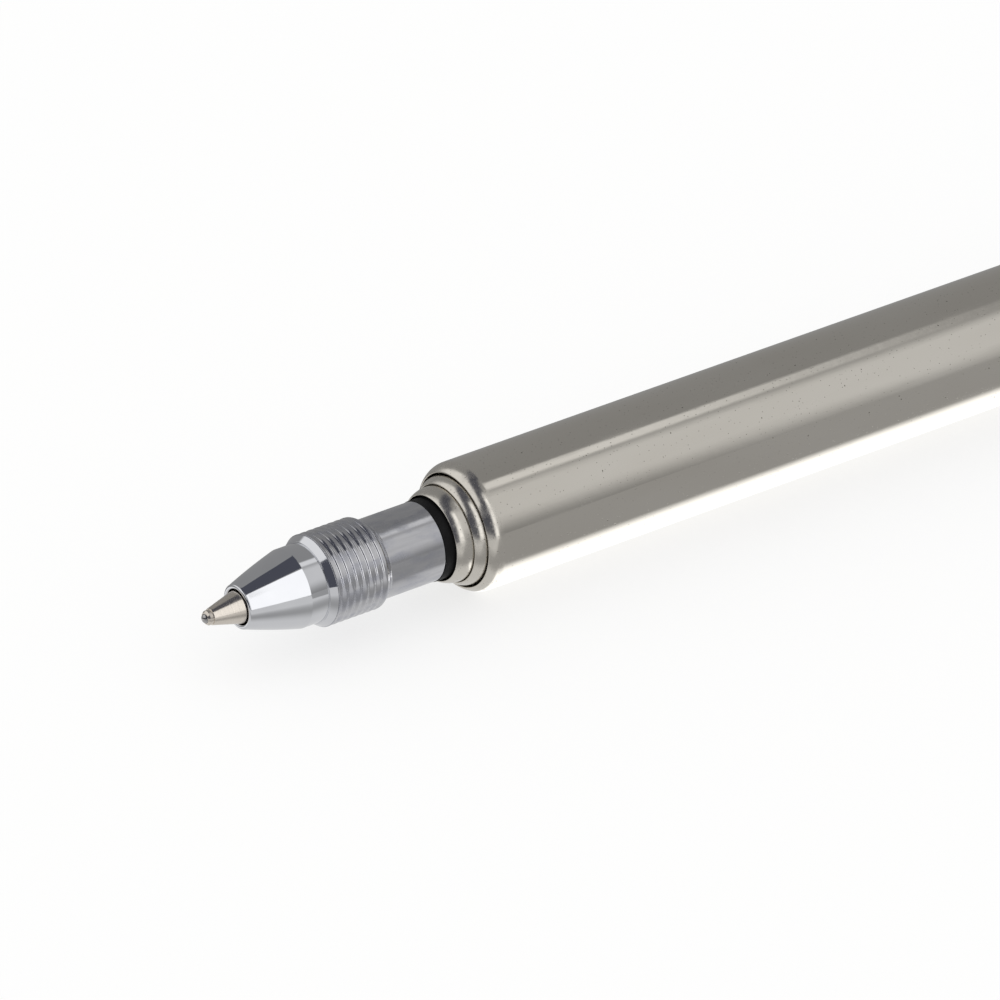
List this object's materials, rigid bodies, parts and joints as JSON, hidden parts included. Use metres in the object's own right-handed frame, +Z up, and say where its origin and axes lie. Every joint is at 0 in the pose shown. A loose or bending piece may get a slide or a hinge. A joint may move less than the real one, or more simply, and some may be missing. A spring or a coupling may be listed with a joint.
{
  "type": "telescopic pointer pen",
  "caption": "Telescopic pointer pen: sliding tubes nested in a plated barrel, a ridged grip sleeve, a polished nose with a ballpoint refill, and a pocket clip.",
  "frame": {"origin": "centre of the flat tail face", "axes": "+X along the pen, out of the tail face, so the writing point is towards -X; +Z up with the pen lying on its barrel and one edge of its clip; the clip is on the -Y side"},
  "size_m": [0.1339, 0.0119, 0.009],
  "materials": {
    "nickel_plate": "bright nickel plate, slightly warm, with fine wear",
    "spring_steel": "plated spring sheet",
    "brass": "turned brass",
    "phosphor_bronze": "rolled spring sheet",
    "black_rubber": "matte",
    "black_acetal": "moulded, fine matte",
    "satin_aluminium": "turned, satin, faintly blue",
    "polished_chrome": "mirror polished",
    "nickel_silver": "fine turned, warm",
    "carbide": "ground ball"
  },
  "bodies": {
    "barrel": {"tail_cap": "nickel_plate", "pocket_clip": "spring_steel", "end_plug": "brass", "buffer_pad": "black_rubber", "barrel": "nickel_plate"},
    "outer_spring": {"outer_friction_spring": "phosphor_bronze"},
    "outer_section": {"outer_tube": "nickel_plate", "outer_guide_bush": "brass"},
    "middle_spring": {"middle_friction_spring": "phosphor_bronze"},
    "middle_section": {"middle_tube": "nickel_plate", "middle_guide_bush": "brass"},
    "inner_spring": {"inner_friction_spring": "phosphor_bronze"},
    "writing_section": {"inner_tube": "nickel_plate", "inner_guide_bush": "brass", "join_collar": "black_acetal", "grip_sleeve": "satin_aluminium", "nose_cone": "polished_chrome", "refill_tube": "brass", "refill_point": "nickel_silver"},
    "ball": {"writing_ball": "carbide"}
  },
  "joints": [
    {"name": "outer_slide", "type": "slide", "parent": "barrel", "child": "outer_spring", "axis": [-1, 0, 0], "range_m": [0, 0.088]},
    {"name": "outer_swivel", "type": "hinge", "parent": "outer_spring", "child": "outer_section", "pos_m": [-0.02195, 0, 0], "axis": [1, 0, 0], "continuous": true},
    {"name": "middle_slide", "type": "slide", "parent": "outer_section", "child": "middle_spring", "axis": [-1, 0, 0], "range_m": [0, 0.089]},
    {"name": "middle_swivel", "type": "hinge", "parent": "middle_spring", "child": "middle_section", "pos_m": [-0.02195, 0, 0], "axis": [1, 0, 0], "continuous": true},
    {"name": "inner_slide", "type": "slide", "parent": "middle_section", "child": "inner_spring", "axis": [-1, 0, 0], "range_m": [0, 0.09]},
    {"name": "inner_swivel", "type": "hinge", "parent": "inner_spring", "child": "writing_section", "pos_m": [-0.02195, 0, 0], "axis": [1, 0, 0], "continuous": true},
    {"name": "ball_roll", "type": "hinge", "parent": "writing_section", "child": "ball", "pos_m": [-0.13354, 0, 0], "axis": [0, 1, 0], "continuous": true}
  ]
}
